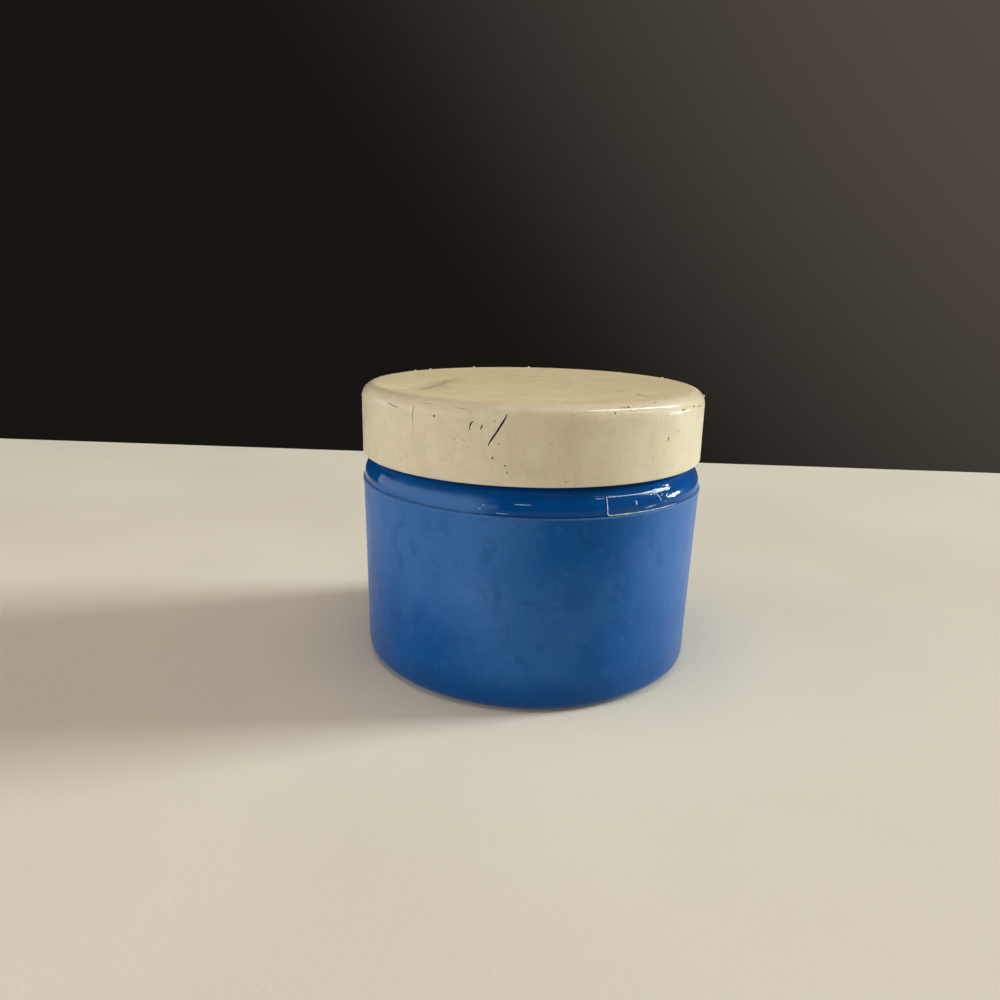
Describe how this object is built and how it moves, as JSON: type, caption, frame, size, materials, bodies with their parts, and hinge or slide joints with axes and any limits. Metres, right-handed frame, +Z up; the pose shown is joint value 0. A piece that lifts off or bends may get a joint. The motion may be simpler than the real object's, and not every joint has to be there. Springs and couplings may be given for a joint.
{
  "type": "paint jar",
  "caption": "Small round double-walled screw-top jar of blue paint, with a satin straight wall, a glossy rounded shoulder and a smooth cream lid with a foam liner.",
  "frame": {"origin": "centre of the circle that the jar stands on", "axes": "+Z up along the jar's axis, towards the lid; -Y is the front, with the tape strip to its right"},
  "size_m": [0.0602, 0.0602, 0.0488],
  "materials": {
    "satin_blue": "satin, slightly mottled",
    "gloss_blue": "high gloss",
    "clear_tape": "clear glossy film",
    "paint": "wet acrylic paint",
    "cream_lid": "aged cream, semi-gloss",
    "foam": "closed-cell foam"
  },
  "bodies": {
    "jar": {"outer_shell": "satin_blue", "inner_cup": "gloss_blue", "tape_strip": "clear_tape", "paint": "paint"},
    "liner": {"lid_liner": "foam"},
    "lid": {"lid": "cream_lid"}
  },
  "joints": [
    {"name": "lid_lift", "type": "slide", "parent": "jar", "child": "liner", "axis": [0, 0, 1], "range_m": [0, 0.01111]},
    {"name": "lid_turn", "type": "hinge", "parent": "liner", "child": "lid", "pos_m": [0, 0, 0.0425], "axis": [0, 0, 1], "range_deg": [0, 1260]}
  ],
  "couplings": [
    {"joint": "lid_lift", "follows": "lid_turn", "m_per_rad": 0.00050532}
  ]
}
